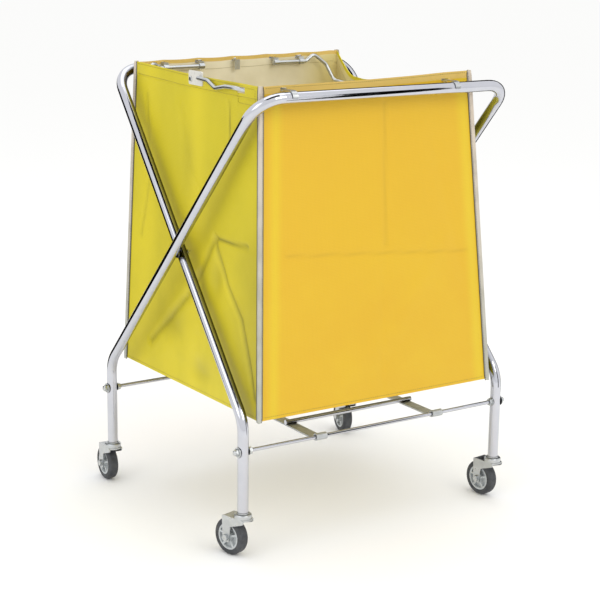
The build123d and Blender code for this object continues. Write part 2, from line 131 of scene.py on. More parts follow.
# ---------------------------------------------------------------- materials
def vinyl_coated_polyester(name, across, down, base, pale, deep, soil_and_shade, strips=()):
    """Vinyl-coated polyester, calendered: the scrim shows through a thin satin skin as a faint grid.

    strips are soft bands of painted light where the cloth lies nearer the light, as (position at the floor,
    lean, half width) in metres. The cloth is deeper in colour near the rim, and painted shade in the
    soil_and_shade colour darkens the folds and hollows, as much as the painted_fold_shade attribute says.
    """
    material, tree = blank_material(name)
    place = add(tree, "ShaderNodeTexCoord")
    # scrim threads are 1 mm apart; drawn at 3 mm so that the grid shows at all
    threads = stripes_scale(3.0)
    warp = add(tree, "ShaderNodeTexWave", {"Scale": threads, "Distortion": 0.35, "Detail Scale": 3.0},
               {"Vector": (place, "Object")}, bands_direction=across)
    weft = add(tree, "ShaderNodeTexWave", {"Scale": threads, "Distortion": 0.35, "Detail Scale": 3.0},
               {"Vector": (place, "Object")}, bands_direction=down)
    scrim = add(tree, "ShaderNodeMath", None, {0: (warp, "Fac"), 1: (weft, "Fac")}, operation="MAXIMUM")
    # handling marks and rolled-up storage leave the skin unevenly bright over hand-sized areas
    clouds = add(tree, "ShaderNodeTexNoise", {"Scale": 9.0, "Detail": 4.0, "Roughness": 0.55},
                 {"Vector": (place, "Object")})
    spread = add(tree, "ShaderNodeMapRange", {"From Min": 0.33, "From Max": 0.68}, {"Value": (clouds, "Fac")})
    tint = add(tree, "ShaderNodeMix", {6: colour(base), 7: colour(deep)}, {0: (spread, "Result")},
               data_type="RGBA")
    axes = add(tree, "ShaderNodeSeparateXYZ", None, {"Vector": (place, "Object")})
    height = add(tree, "ShaderNodeMapRange", {"From Min": 0.4, "From Max": 0.9, "To Max": 0.55},
                 {"Value": (axes, "Z")}, interpolation_type="SMOOTHSTEP")
    tint = add(tree, "ShaderNodeMix", {7: colour(deep)}, {0: (height, "Result"), 6: (tint, 2)},
               data_type="RGBA")
    for position, lean, half_width in strips:
        shift = add(tree, "ShaderNodeMath", {1: lean, 2: position}, {0: (axes, "Z")},
                    operation="MULTIPLY_ADD")
        gap = add(tree, "ShaderNodeMath", None, {0: (axes, across), 1: (shift, "Value")},
                  operation="SUBTRACT")
        span = add(tree, "ShaderNodeMath", None, {0: (gap, "Value")}, operation="ABSOLUTE")
        share = add(tree, "ShaderNodeMapRange",
                    {"From Min": half_width, "From Max": 0.0, "To Max": 0.6},
                    {"Value": (span, "Value")}, interpolation_type="SMOOTHSTEP")
        tint = add(tree, "ShaderNodeMix", {7: colour(pale)}, {0: (share, "Result"), 6: (tint, 2)},
                   data_type="RGBA")
    # painted shade in the folds and hollows, read from the painted_fold_shade attribute
    painted_crease_shade = add(tree, "ShaderNodeAttribute", attribute_name="painted_fold_shade", attribute_type="GEOMETRY")
    tint = add(tree, "ShaderNodeMix", {7: colour(soil_and_shade)}, {0: (painted_crease_shade, "Fac"), 6: (tint, 2)},
               data_type="RGBA")
    threads_dark = add(tree, "ShaderNodeMapRange", {"To Min": 0.93, "To Max": 1.03},
                       {"Value": (scrim, "Value")})
    cloth_colour = add(tree, "ShaderNodeMix", {0: 1.0}, {6: (tint, 2), 7: (threads_dark, "Result")},
                       data_type="RGBA", blend_type="MULTIPLY")
    grain = add(tree, "ShaderNodeTexNoise", {"Scale": 900.0, "Detail": 2.0}, {"Vector": (place, "Object")})
    uneven = add(tree, "ShaderNodeMath", {1: 0.35}, {0: (grain, "Fac")}, operation="MULTIPLY")
    relief = add(tree, "ShaderNodeMath", None, {0: (scrim, "Value"), 1: (uneven, "Value")}, operation="ADD")
    bump = add(tree, "ShaderNodeBump", {"Strength": 0.35, "Distance": 0.00035}, {"Height": (relief, "Value")})
    gloss = add(tree, "ShaderNodeMapRange", {"To Min": 0.38, "To Max": 0.55}, {"Value": (clouds, "Fac")})
    shader = add(tree, "ShaderNodeBsdfPrincipled", {"IOR": 1.5},
                 {"Base Color": (cloth_colour, 2), "Roughness": (gloss, "Result"),
                  "Normal": (bump, "Normal")})
    add(tree, "ShaderNodeOutputMaterial", None, {"Surface": (shader, "BSDF")})
    return material


def uncoated_polyester_backing(name):
    """The uncoated woven back of the cloth.

    Dull beige, with a visible plain weave and painted yellow light on the right side.
    """
    material, tree = blank_material(name)
    place = add(tree, "ShaderNodeTexCoord")
    # yarns are 0.5 mm apart; drawn at 2.4 mm so that the weave shows
    pitch = stripes_scale(2.4)
    weave = []
    for direction in ("X", "Y", "Z"):
        weave.append(add(tree, "ShaderNodeTexWave", {"Scale": pitch, "Distortion": 0.5, "Detail Scale": 2.0},
                         {"Vector": (place, "Object")}, bands_direction=direction))
    level = add(tree, "ShaderNodeMath", None, {0: (weave[0], "Fac"), 1: (weave[1], "Fac")},
                operation="MULTIPLY")
    yarns = add(tree, "ShaderNodeMath", None, {0: (level, "Value"), 1: (weave[2], "Fac")},
                operation="MAXIMUM")
    patches = add(tree, "ShaderNodeTexNoise", {"Scale": 11.0, "Detail": 5.0}, {"Vector": (place, "Object")})
    spread = add(tree, "ShaderNodeMapRange", {"From Min": 0.35, "From Max": 0.7}, {"Value": (patches, "Fac")})
    tint = add(tree, "ShaderNodeMix", {6: colour("#ECE3C4"), 7: colour("#DACFAA")}, {0: (spread, "Result")},
               data_type="RGBA")
    axes = add(tree, "ShaderNodeSeparateXYZ", None, {"Vector": (place, "Object")})
    # painted yellow light towards the right wall
    side = add(tree, "ShaderNodeMapRange", {"From Min": 0.15, "From Max": 0.24, "To Max": 0.6},
               {"Value": (axes, "X")})
    painted_yellow_light = add(tree, "ShaderNodeMix", {7: colour("#D3BF55")}, {0: (side, "Result"), 6: (tint, 2)},
               data_type="RGBA")
    shade = add(tree, "ShaderNodeMapRange", {"To Min": 0.9, "To Max": 1.04}, {"Value": (yarns, "Value")})
    cloth_colour = add(tree, "ShaderNodeMix", {0: 1.0}, {6: (painted_yellow_light, 2), 7: (shade, "Result")},
                       data_type="RGBA", blend_type="MULTIPLY")
    bump = add(tree, "ShaderNodeBump", {"Strength": 0.5, "Distance": 0.0004}, {"Height": (yarns, "Value")})
    shader = add(tree, "ShaderNodeBsdfPrincipled",
                 {"IOR": 1.5, "Roughness": 0.85, "Sheen Weight": 0.25, "Sheen Roughness": 0.5},
                 {"Base Color": (cloth_colour, 2), "Normal": (bump, "Normal")})
    add(tree, "ShaderNodeOutputMaterial", None, {"Surface": (shader, "BSDF")})
    return material


def polypropylene_webbing(name):
    """Woven polypropylene binding tape: pale stone grey, ribbed across, a little soiled."""
    material, tree = blank_material(name)
    place = add(tree, "ShaderNodeTexCoord")
    # picks are 0.6 mm apart; drawn at 2.2 mm
    ribs = add(tree, "ShaderNodeTexWave", {"Scale": stripes_scale(2.2), "Distortion": 0.2},
               {"Vector": (place, "Object")}, bands_direction="Z")
    soil_and_shade = add(tree, "ShaderNodeTexNoise", {"Scale": 26.0, "Detail": 6.0}, {"Vector": (place, "Object")})
    axes = add(tree, "ShaderNodeSeparateXYZ", None, {"Vector": (place, "Object")})
    height = add(tree, "ShaderNodeMapRange", {"From Min": 0.3, "From Max": 0.85}, {"Value": (axes, "Z")})
    fade = add(tree, "ShaderNodeMix", {6: colour("#B9BAB0"), 7: colour("#D2C5B4")}, {0: (height, "Result")},
               data_type="RGBA")
    worn = add(tree, "ShaderNodeMapRange", {"From Min": 0.45, "From Max": 0.75, "To Max": 0.45},
               {"Value": (soil_and_shade, "Fac")})
    tint = add(tree, "ShaderNodeMix", {7: colour("#8F8C7C")}, {0: (worn, "Result"), 6: (fade, 2)},
               data_type="RGBA")
    shade = add(tree, "ShaderNodeMapRange", {"To Min": 0.82, "To Max": 1.05}, {"Value": (ribs, "Fac")})
    tape = add(tree, "ShaderNodeMix", {0: 1.0}, {6: (tint, 2), 7: (shade, "Result")},
               data_type="RGBA", blend_type="MULTIPLY")
    bump = add(tree, "ShaderNodeBump", {"Strength": 0.6, "Distance": 0.0004}, {"Height": (ribs, "Fac")})
    shader = add(tree, "ShaderNodeBsdfPrincipled", {"IOR": 1.49, "Roughness": 0.6, "Sheen Weight": 0.2},
                 {"Base Color": (tape, 2), "Normal": (bump, "Normal")})
    add(tree, "ShaderNodeOutputMaterial", None, {"Surface": (shader, "BSDF")})
    return material


def bonded_thread(name, light, dark):
    """Bonded polyester thread: twisted, slightly waxy."""
    material, tree = blank_material(name)
    place = add(tree, "ShaderNodeTexCoord")
    # the twist repeats each 0.5 mm; drawn at 1.2 mm
    twist = add(tree, "ShaderNodeTexWave", {"Scale": stripes_scale(1.2)}, {"Vector": (place, "Object")},
                bands_direction="DIAGONAL")
    tint = add(tree, "ShaderNodeMix", {6: colour(dark), 7: colour(light)}, {0: (twist, "Fac")},
               data_type="RGBA")
    shader = add(tree, "ShaderNodeBsdfPrincipled", {"IOR": 1.55, "Roughness": 0.5}, {"Base Color": (tint, 2)})
    add(tree, "ShaderNodeOutputMaterial", None, {"Surface": (shader, "BSDF")})
    return material


def chrome_plate(name, smear, wave):
    """Bright chromium plate over drawn steel: mirror-like, faintly wavy, with thin smears from handling."""
    material, tree = blank_material(name)
    place = add(tree, "ShaderNodeTexCoord")
    smears = add(tree, "ShaderNodeTexNoise", {"Scale": 30.0, "Detail": 6.0, "Roughness": 0.65},
                 {"Vector": (place, "Object")})
    rough = add(tree, "ShaderNodeMapRange",
                {"From Min": 0.4, "From Max": 0.75, "To Min": 0.045, "To Max": smear},
                {"Value": (smears, "Fac")})
    tone = add(tree, "ShaderNodeMix", {6: colour("#D2D3DA"), 7: colour("#BEC0C8")}, {0: (smears, "Fac")},
               data_type="RGBA")
    # painted shade: ambient occlusion darkens the side close to the cloth
    near = add(tree, "ShaderNodeAmbientOcclusion", {"Distance": 0.07}, samples=8)
    clear_of_painted_shade = add(tree, "ShaderNodeMapRange", {"From Min": 0.45, "From Max": 0.9}, {"Value": (near, "AO")},
                interpolation_type="SMOOTHSTEP")
    tone = add(tree, "ShaderNodeMix", {6: colour("#3C3C3E")}, {0: (clear_of_painted_shade, "Result"), 7: (tone, 2)},
               data_type="RGBA")
    # drawing leaves shallow waves some 25 mm long under the plate
    waves = add(tree, "ShaderNodeTexNoise", {"Scale": 40.0, "Detail": 1.0}, {"Vector": (place, "Object")})
    bump = add(tree, "ShaderNodeBump", {"Strength": wave, "Distance": 0.002}, {"Height": (waves, "Fac")})
    shader = add(tree, "ShaderNodeBsdfPrincipled", {"Metallic": 1.0},
                 {"Base Color": (tone, 2), "Roughness": (rough, "Result"), "Normal": (bump, "Normal")})
    add(tree, "ShaderNodeOutputMaterial", None, {"Surface": (shader, "BSDF")})
    return material


def bright_zinc_plate(name, smooth, rough_limit):
    """Zinc-electroplated pressed steel: greyer and softer than chrome, clouded, with small dull specks."""
    material, tree = blank_material(name)
    place = add(tree, "ShaderNodeTexCoord")
    cloud = add(tree, "ShaderNodeTexNoise", {"Scale": 70.0, "Detail": 5.0}, {"Vector": (place, "Object")})
    # plating specks of about 2 mm
    specks = add(tree, "ShaderNodeTexVoronoi", {"Scale": 480.0}, {"Vector": (place, "Object")})
    tone = add(tree, "ShaderNodeMix", {6: colour("#D3D5D6"), 7: colour("#B4B8BA")}, {0: (cloud, "Fac")},
               data_type="RGBA")
    rough = add(tree, "ShaderNodeMapRange", {"To Min": smooth, "To Max": rough_limit},
                {"Value": (cloud, "Fac")})
    bump = add(tree, "ShaderNodeBump", {"Strength": 0.12, "Distance": 0.0003},
               {"Height": (specks, "Distance")})
    shader = add(tree, "ShaderNodeBsdfPrincipled", {"Metallic": 1.0},
                 {"Base Color": (tone, 2), "Roughness": (rough, "Result"), "Normal": (bump, "Normal")})
    add(tree, "ShaderNodeOutputMaterial", None, {"Surface": (shader, "BSDF")})
    return material


def moulded_tread_rubber(name):
    """Moulded grey rubber: dull charcoal with dust on it and a fine mould grain."""
    material, tree = blank_material(name)
    place = add(tree, "ShaderNodeTexCoord")
    dust = add(tree, "ShaderNodeTexNoise", {"Scale": 55.0, "Detail": 7.0, "Roughness": 0.7},
               {"Vector": (place, "Object")})
    share = add(tree, "ShaderNodeMapRange", {"From Min": 0.42, "From Max": 0.8, "To Max": 0.5},
                {"Value": (dust, "Fac")})
    tone = add(tree, "ShaderNodeMix", {6: colour("#34363A"), 7: colour("#6C6E70")}, {0: (share, "Result")},
               data_type="RGBA")
    # mould grain of 0.8 mm
    grain = add(tree, "ShaderNodeTexNoise", {"Scale": 1250.0, "Detail": 1.0}, {"Vector": (place, "Object")})
    bump = add(tree, "ShaderNodeBump", {"Strength": 0.3, "Distance": 0.0002}, {"Height": (grain, "Fac")})
    shader = add(tree, "ShaderNodeBsdfPrincipled", {"IOR": 1.52, "Roughness": 0.62},
                 {"Base Color": (tone, 2), "Normal": (bump, "Normal")})
    add(tree, "ShaderNodeOutputMaterial", None, {"Surface": (shader, "BSDF")})
    return material


def moulded_polypropylene(name):
    """Injection-moulded polypropylene wheel centre: light grey, waxy, slightly marked."""
    material, tree = blank_material(name)
    place = add(tree, "ShaderNodeTexCoord")
    marks = add(tree, "ShaderNodeTexNoise", {"Scale": 80.0, "Detail": 5.0}, {"Vector": (place, "Object")})
    share = add(tree, "ShaderNodeMapRange", {"From Min": 0.5, "From Max": 0.8, "To Max": 0.5},
                {"Value": (marks, "Fac")})
    tone = add(tree, "ShaderNodeMix", {6: colour("#BFC3C4"), 7: colour("#8E9293")}, {0: (share, "Result")},
               data_type="RGBA")
    rough = add(tree, "ShaderNodeMapRange", {"To Min": 0.34, "To Max": 0.5}, {"Value": (marks, "Fac")})
    shader = add(tree, "ShaderNodeBsdfPrincipled", {"IOR": 1.49},
                 {"Base Color": (tone, 2), "Roughness": (rough, "Result")})
    add(tree, "ShaderNodeOutputMaterial", None, {"Surface": (shader, "BSDF")})
    return material


def baked_enamel(name):
    """Baked light grey enamel on pressed steel: smooth, glossy, with faint orange peel and a few scuffs."""
    material, tree = blank_material(name)
    place = add(tree, "ShaderNodeTexCoord")
    scuffs = add(tree, "ShaderNodeTexNoise", {"Scale": 120.0, "Detail": 6.0}, {"Vector": (place, "Object")})
    share = add(tree, "ShaderNodeMapRange", {"From Min": 0.55, "From Max": 0.75, "To Max": 0.6},
                {"Value": (scuffs, "Fac")})
    tone = add(tree, "ShaderNodeMix", {6: colour("#D9D7CF"), 7: colour("#A9A8A2")}, {0: (share, "Result")},
               data_type="RGBA")
    # orange peel of about 2 mm
    peel = add(tree, "ShaderNodeTexNoise", {"Scale": 500.0, "Detail": 1.0}, {"Vector": (place, "Object")})
    bump = add(tree, "ShaderNodeBump", {"Strength": 0.08, "Distance": 0.0002}, {"Height": (peel, "Fac")})
    shader = add(tree, "ShaderNodeBsdfPrincipled", {"IOR": 1.5, "Roughness": 0.34},
                 {"Base Color": (tone, 2), "Normal": (bump, "Normal")})
    add(tree, "ShaderNodeOutputMaterial", None, {"Surface": (shader, "BSDF")})
    return material


# each cloth's seventh argument is the colour of its painted shade in folds and hollows
amber_cloth = vinyl_coated_polyester(
    "amber_vinyl_coated_polyester_front", "X", "Z", "#D8AF17", "#DAC01B", "#D6AA16", "#8F7016",
    strips=((-0.249, 0.0, 0.020), (0.301, -0.1242, 0.026)),
)
lemon_cloth = vinyl_coated_polyester(
    "lemon_vinyl_coated_polyester_side", "Y", "Z", "#D9C821", "#E0CE25", "#CCBD20", "#5A5620",
    strips=((0.20, 0.0, 0.07), (-0.02, 0.0, 0.06)),
)
floor_cloth = vinyl_coated_polyester(
    "wheat_vinyl_coated_polyester_floor", "X", "Y", "#CFC28E", "#D6CB98", "#C2B482", "#9C9068",
)
hem_cloth = vinyl_coated_polyester(
    "wheat_vinyl_coated_polyester_hem", "X", "Z", "#DDBF68", "#E2CB7C", "#D4B25A", "#9C8440",
)
backing_cloth = uncoated_polyester_backing("beige_uncoated_polyester_backing")
binding_tape = polypropylene_webbing("stone_grey_polypropylene_webbing")
hem_thread = bonded_thread("olive_bonded_polyester_thread", "#A9952F", "#6F6320")
# this dark thread also colours the beads along the binding tape's edges, as painted shadow in the gap beside
# the tape
dark_thread_and_edge_shadow = bonded_thread("dark_grey_thread_and_painted_edge_shadow", "#5A584C", "#33322B")
tube_chrome = chrome_plate("bright_chrome_plated_tube", 0.13, 0.05)
wire_chrome = chrome_plate("bright_chrome_plated_wire", 0.16, 0.04)
rack_chrome = chrome_plate("bright_chrome_plated_rack_strip", 0.2, 0.06)
zinc = bright_zinc_plate("bright_zinc_plated_pressed_steel", 0.2, 0.42)
strap_zinc = bright_zinc_plate("dull_galvanised_rack_strap", 0.5, 0.65)
tyre_rubber = moulded_tread_rubber("charcoal_moulded_rubber")
hub_plastic = moulded_polypropylene("light_grey_moulded_polypropylene")
plate_enamel = baked_enamel("light_grey_baked_enamel")

FINISHES = [
    ("_tyre", tyre_rubber), ("_hub", hub_plastic), ("_fork", zinc), ("_swivel_cap", zinc), ("_axle", zinc),
    ("_stem", zinc), ("_rod_nuts", zinc), ("pivot_", zinc), ("rack_straps", strap_zinc),
    ("rack_", rack_chrome), ("_tie_rod", wire_chrome), ("_stay_plate", plate_enamel),
    ("_stay_", zinc), ("hangers", zinc), ("_hook", zinc),
    ("_bar_frame", tube_chrome),
]
for node_name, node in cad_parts.items():
    for part_of_name, finish in FINISHES:
        if part_of_name in node_name:
            node.data.materials.clear()
            node.data.materials.append(finish)
            break


# ---------------------------------------------------------------- bag shape
def edge_x(edge, z):
    (x_top, z_top), (x_bottom, z_bottom) = edge
    return x_bottom + (x_top - x_bottom) * (z - z_bottom) / (z_top - z_bottom)


def along_line(h, z, points, width):
    """How strongly a fold that runs through the points is felt at (h, z), from 0 to 1."""
    felt = np.zeros(np.broadcast(h, z).shape)
    for (h0, z0), (h1, z1) in zip(points, points[1:]):
        length2 = (h1 - h0) ** 2 + (z1 - z0) ** 2
        t = np.clip(((h - h0) * (h1 - h0) + (z - z0) * (z1 - z0)) / length2, 0, 1)
        gap2 = (h - h0 - t * (h1 - h0)) ** 2 + (z - z0 - t * (z1 - z0)) ** 2
        felt = np.maximum(felt, np.exp(-gap2 / width ** 2))
    return felt


def dimple(h, z, h0, z0, radius_h, radius_z):
    return np.exp(-((h - h0) / radius_h) ** 2 - ((z - z0) / radius_z) ** 2)


def rim_height(wall, h):
    """Top edge of a wall; it dips a little between the hangers."""
    if wall == "front":
        line = 924.0 + 9.0 * (h + 284.0) / 490.0
        return line - 2.0 * np.sin(np.pi * np.clip((h + 234.0) / 379.0, 0, 1))
    if wall == "rear":
        line = 923.0 + 5.0 * (h + 250.0) / 517.0
        return line - 1.6 * np.abs(np.sin(np.pi * (h + 186.0) / 87.0))
    t = (h + BAG_DEPTH) / (2 * BAG_DEPTH)
    if wall == "left":
        return 924.0 - t - 3.0 * np.sin(np.pi * t) ** 2
    return np.interp(h, FINE_RIM_Y, FINE_RIM_Z)


def rounded_rim():
    """The sagging right rim as a smooth line through its given heights."""
    fine = np.linspace(-BAG_DEPTH, BAG_DEPTH, 277)
    line = np.interp(fine, RIGHT_RIM_Y, RIGHT_RIM_Z)
    for _ in range(60):
        line[1:-1] = 0.25 * line[:-2] + 0.5 * line[1:-1] + 0.25 * line[2:]
    return fine, line


FINE_RIM_Y, FINE_RIM_Z = rounded_rim()


def bottom_height(wall, h):
    if wall == "front":
        return np.full_like(h, FRONT_BOTTOM)
    if wall == "rear":
        return np.full_like(h, REAR_BOTTOM)
    return FRONT_BOTTOM - (FRONT_BOTTOM - REAR_BOTTOM) * (h + BAG_DEPTH) / (2 * BAG_DEPTH)


def in_patch(h, z, patch):
    """1 on a sewn-on reinforcement, 0 beside it."""
    h0, h1, z0, z1 = patch
    inside = np.minimum(np.minimum(h - h0, h1 - h), np.minimum(z - z0, z1 - z))
    return smooth_step(inside / 0.8 + 0.5)


def cloth_relief(wall, h, z, below_rim):
    """Millimetres that the cloth stands out from its flat wall."""
    storage_fold = along_line(h, z, [(-400, 604), (-60, 598), (60, 600), (400, 590)], 4.5)
    if wall == "front":
        swell = 4.0 * dimple(h, z, 10, 520, 230, 260)
        rolls = 0.9 * np.sin(h / 41.0 + 0.6) * np.exp(-below_rim / 330.0)
        rolls += 0.6 * np.sin(h / 23.0 + z / 210.0) * np.exp(-below_rim / 150.0)
        folds = -1.5 * along_line(h, z, [(0, 880), (3, 740), (9, 600)], 6.0)
        folds -= 0.8 * along_line(h, z, [(9, 600), (4, 450), (10, 300)], 7.0)
        folds -= 1.5 * along_line(h, z, [(-220, 600), (0, 584), (215, 566)], 5.0)
        folds += 1.0 * along_line(h, z, [(-80, 340), (40, 420), (160, 600)], 22.0)
        folds -= 0.9 * along_line(h, z, [(120, 800), (170, 640), (215, 500)], 16.0)
        return swell + rolls + folds
    if wall == "rear":
        swell = 2.5 * dimple(h, z, 0, 500, 230, 260)
        rolls = 1.2 * np.sin(h / 27.7) * np.exp(-below_rim / 170.0)
        folds = -1.3 * storage_fold - 1.2 * along_line(h, z, [(-6, 880), (0, 600), (4, 300)], 6.0)
        return swell + rolls + folds
    if wall == "left":
        swell = -5.0 * dimple(h, z, 0, 560, 200, 230)
        rolls = 0.8 * np.sin(h / 33.0 + 0.5) * np.exp(-below_rim / 260.0)
        folds = -5.0 * along_line(h, z, [(-94, 606), (-42, 535), (-2, 485), (168, 340)], 9.0)
        folds -= 5.0 * along_line(h, z, [(-94, 606), (-145, 525), (-204, 468), (-262, 322)], 8.0)
        folds += 3.0 * along_line(h, z, [(-94, 580), (-60, 470), (-50, 340)], 26.0)
        folds -= 3.4 * along_line(h, z, [(-96, 611), (-160, 612), (-225, 615)], 4.0)
        folds -= 1.2 * along_line(h, z, [(-225, 615), (-260, 612)], 5.0)
        folds -= 1.0 * along_line(h, z, [(-94, 606), (60, 600), (250, 604)], 5.0)
        folds -= 1.6 * along_line(h, z, [(-153, 884), (-157, 830), (-159, 760)], 4.5)
        folds -= 1.3 * along_line(h, z, [(215, 860), (190, 700), (225, 560)], 7.0)
        folds -= 1.2 * along_line(h, z, [(60, 850), (20, 740), (-60, 650)], 14.0)
        hollows = -4.0 * dimple(h, z, -104, 527, 24, 32) - 3.6 * dimple(h, z, 81, 393, 36, 28)
        hollows -= 3.6 * dimple(h, z, -49, 328, 32, 24)
        return swell + rolls + folds + hollows
    swell = -5.0 * dimple(h, z, 0, 560, 200, 230)
    rolls = 1.6 * np.sin(h / 21.0) * np.exp(-below_rim / 120.0)
    folds = -1.4 * storage_fold
    folds -= 3.0 * along_line(h, z, [(232, 880), (205, 800), (150, 700)], 12.0)
    folds -= 2.4 * along_line(h, z, [(255, 900), (240, 820), (225, 720)], 8.0)
    folds -= 3.0 * along_line(h, z, [(80, 606), (0, 500), (-170, 350)], 9.0)
    folds -= 3.0 * along_line(h, z, [(80, 606), (150, 520), (250, 350)], 9.0)
    return swell + rolls + folds


def painted_fold_shade(wall, h, z):
    """Share of painted shade in the folds and hollows of a wall, from 0 to 1."""
    lines = {
        "front": [([(-220, 600), (0, 584), (215, 566)], 3.0, 0.16),
                  ([(0, 880), (3, 740), (9, 600)], 4.0, 0.14)],
        "left": [
            ([(-94, 606), (-42, 535), (-2, 485), (168, 340)], 6.0, 0.34),
            ([(-94, 606), (-145, 525), (-204, 468), (-262, 322)], 5.0, 0.42),
            ([(-96, 611), (-160, 612), (-228, 615)], 2.6, 0.8),
            ([(-153, 884), (-157, 830), (-159, 780)], 2.6, 0.5),
            ([(215, 860), (190, 700), (225, 560)], 5.0, 0.2),
        ],
        "right": [([(80, 606), (0, 500), (-170, 350)], 6.0, 0.3),
                  ([(80, 606), (150, 520), (250, 350)], 6.0, 0.3)],
        "rear": [([(-400, 604), (400, 590)], 3.0, 0.2)],
    }
    felt = np.zeros(np.broadcast(h, z).shape)
    for points, width, strength in lines[wall]:
        felt = np.maximum(felt, strength * along_line(h, z, points, width))
    if wall == "left":
        # painted shade in the hollows of the left wall
        felt = felt + 0.22 * dimple(h, z, -104, 527, 22, 30) + 0.26 * dimple(h, z, 81, 393, 40, 26)
        felt = felt + 0.24 * dimple(h, z, -49, 328, 34, 22) + 0.16 * dimple(h, z, 20, 745, 26, 60)
        # painted shade darkening the lower front end of the left wall
        felt = felt + 0.3 * smooth_step((-120 - h) / 150) * smooth_step((760 - z) / 240)
    return np.clip(felt, 0, 1)


OUTWARD = {"front": (0, -1), "right": (1, 0), "rear": (0, 1), "left": (-1, 0)}


def wall_point(wall, share, below=None, z=None, lift=0.0):
    """Points on a wall's outer face, in millimetres.

    share runs 0 to 1 along the wall, going round the bag from the left end of the front.
    """
    share = np.asarray(share, float)
    if wall in ("front", "rear"):
        left, right = LEFT_EDGE[wall], RIGHT_EDGE[wall]
        t = share if wall == "front" else 1 - share
        h = edge_x(left, 900.0) + (edge_x(right, 900.0) - edge_x(left, 900.0)) * t
    else:
        t = share if wall == "right" else 1 - share
        h = BAG_DEPTH * (2 * t - 1)
    rim = rim_height(wall, h)
    if z is None:
        z = rim - below
    below_rim = rim - z
    if wall in ("front", "rear"):
        x0, x1 = edge_x(LEFT_EDGE[wall], z), edge_x(RIGHT_EDGE[wall], z)
        x = x0 + (x1 - x0) * t
        y = np.full_like(x, -BAG_DEPTH if wall == "front" else BAG_DEPTH)
        flat = x
        corner_gap = np.minimum(x - x0, x1 - x)
    else:
        edge = RIGHT_EDGE if wall == "right" else LEFT_EDGE
        x = edge_x(edge["front"], z) + (edge_x(edge["rear"], z) - edge_x(edge["front"], z)) * t
        y = h + np.zeros_like(x)
        flat = y
        corner_gap = BAG_DEPTH - np.abs(y)
    bottom = bottom_height(wall, h)
    calm = smooth_step((corner_gap - 9.0) / 30.0) * smooth_step((z - bottom) / 45.0)
    if wall in ("left", "right"):
        calm = calm * smooth_step((below_rim + 6.0) / 40.0)
    out = cloth_relief(wall, flat, z, below_rim) * calm
    near = smooth_step((corner_gap - 1.0) / 4.0)
    out = out + HEM_LAYER * smooth_step((HEM - below_rim) / 1.2 + 0.5) * near
    if wall == "left":
        out = out + 0.7 * in_patch(flat, z, LEFT_PATCH) * near
    if wall == "right":
        out = out + 0.7 * in_patch(flat, z, RIGHT_PATCH) * near
    nx, ny = OUTWARD[wall]
    out = out + lift
    return np.stack([x + nx * out, y + ny * out + FOLD_Y, z + np.zeros_like(x)], axis=-1)


def stations(count, extra):
    """Shares from 0 up to 1, with exact lines added where something is cut or sewn."""
    even = np.linspace(0, 1, count + 1)[:-1]
    keep = [s for s in even if all(abs(s - e) > 0.4 / count for e in extra) or s == 0]
    return np.array(sorted(keep + list(extra)))


def front_share(x):
    left, right = edge_x(LEFT_EDGE["front"], 900.0), edge_x(RIGHT_EDGE["front"], 900.0)
    return (x - left) / (right - left)


def side_share(y):
    return (y + BAG_DEPTH) / (2 * BAG_DEPTH)


